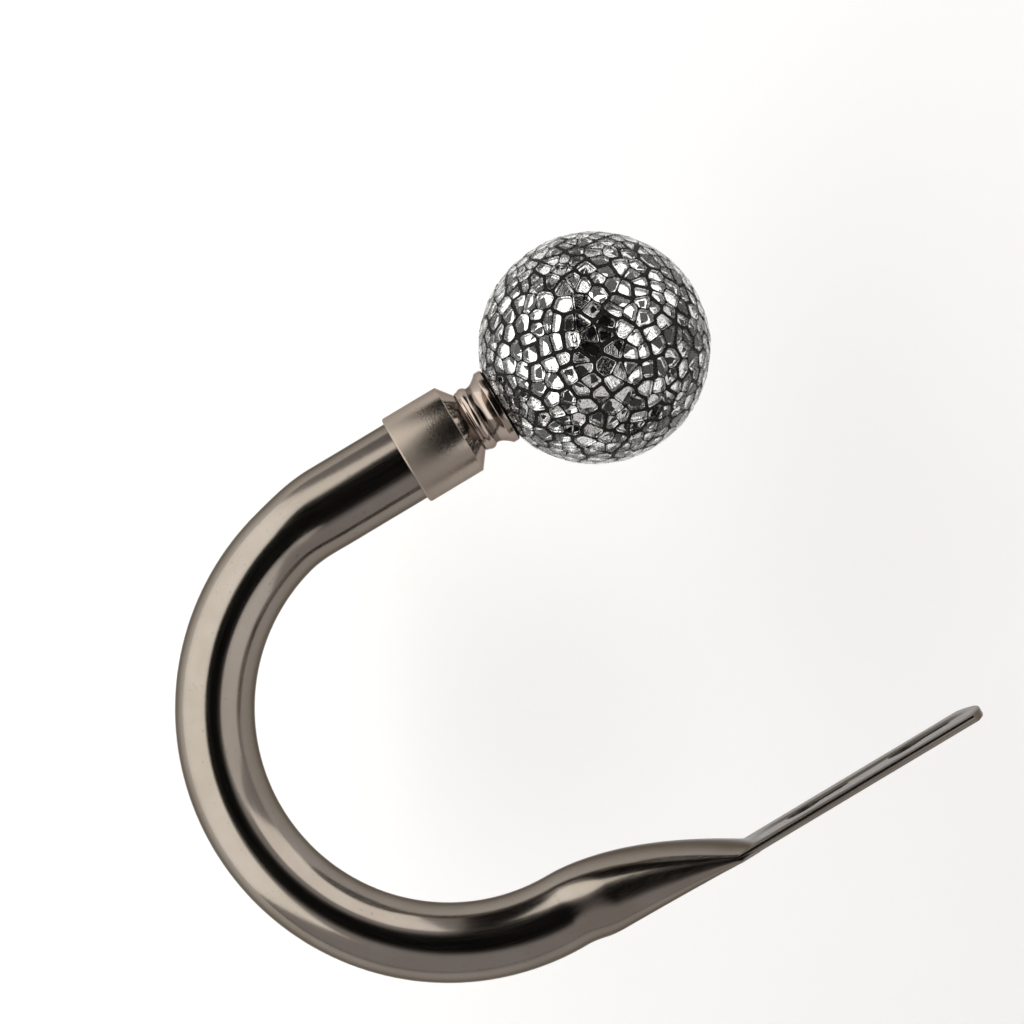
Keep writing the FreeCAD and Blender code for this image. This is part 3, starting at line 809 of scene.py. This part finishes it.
world = bpy.data.worlds.new("studio")
bpy.context.scene.world = world
world.use_nodes = True
tree = world.node_tree
tree.nodes.clear()
direction = add_node(tree, "ShaderNodeTexCoord").outputs["Generated"]
up_part = add_node(tree, "ShaderNodeSeparateXYZ", {"Vector": direction}).outputs["Z"]
reaches = []
for azimuth, middle, half_width in ((DARK_AZIMUTH, DARK_ALONG, DARK_LENGTH), (DARK_AZIMUTH - 90, DARK_ACROSS, DARK_WIDTH)):
    part = add_node(tree, "ShaderNodeVectorMath", {0: direction, 1: towards(azimuth, 90)}, operation="DOT_PRODUCT")
    angle = add_node(tree, "ShaderNodeMath", {0: part.outputs["Value"], 1: up_part}, operation="ARCTAN2")
    offset = add_node(tree, "ShaderNodeMath", {0: angle.outputs[0], 1: math.radians(middle)}, operation="SUBTRACT")
    share = add_node(tree, "ShaderNodeMath", {0: offset.outputs[0], 1: math.radians(half_width)}, operation="DIVIDE")
    reaches.append(share.outputs[0])
reach = add_node(tree, "ShaderNodeCombineXYZ", {"X": reaches[0], "Y": reaches[1]})
distance = add_node(tree, "ShaderNodeVectorMath", {0: reach.outputs[0]}, operation="LENGTH")
open_share = add_node(
    tree, "ShaderNodeMapRange", {"Value": distance.outputs["Value"], "From Min": 0.75, "From Max": 1.3},
    interpolation_type="SMOOTHSTEP")
level_parts = []
for level in (IMAGE_UP, IMAGE_RIGHT):
    part = add_node(tree, "ShaderNodeVectorMath", {0: direction, 1: level}, operation="DOT_PRODUCT")
    level_parts.append(part.outputs["Value"])
azimuth = calculate(tree, "ARCTAN2", level_parts[0], level_parts[1])
from_wedge = calculate(tree, "ABSOLUTE", calculate(tree, "SUBTRACT", azimuth, math.radians(WEDGE_AZIMUTH)))
beside_wedge = remap(tree, from_wedge, math.radians(WEDGE_WIDTH), math.radians(WEDGE_WIDTH + WEDGE_EDGE))
surround = add_node(
    tree, "ShaderNodeMix", {"Factor": calculate(tree, "MINIMUM", open_share.outputs[0], beside_wedge), "A": DARK_COLOUR, "B": SURROUND_COLOUR}, data_type="RGBA")
background = add_node(tree, "ShaderNodeBackground", {"Color": surround.outputs["Result"], "Strength": 1.0})
add_node(tree, "ShaderNodeOutputWorld", {"Surface": background.outputs[0]})

camera_data = bpy.data.cameras.new("camera")
camera_data.lens = FOCAL_LENGTH
camera_data.sensor_width = 36
camera_data.sensor_fit = "HORIZONTAL"
camera_data.clip_start = 0.01
camera = bpy.data.objects.new("camera", camera_data)
bpy.context.scene.collection.objects.link(camera)
back = (CAMERA_PLACE - CAMERA_AIM).normalized()
right = IMAGE_UP.cross(back).normalized()
up = back.cross(right)
camera.location = CAMERA_PLACE
turn = [[right[row], up[row], back[row]] for row in range(3)]
from mathutils import Matrix
camera.rotation_euler = Matrix(turn).to_euler()
bpy.context.scene.camera = camera
bpy.context.scene.view_settings.view_transform = "Standard"
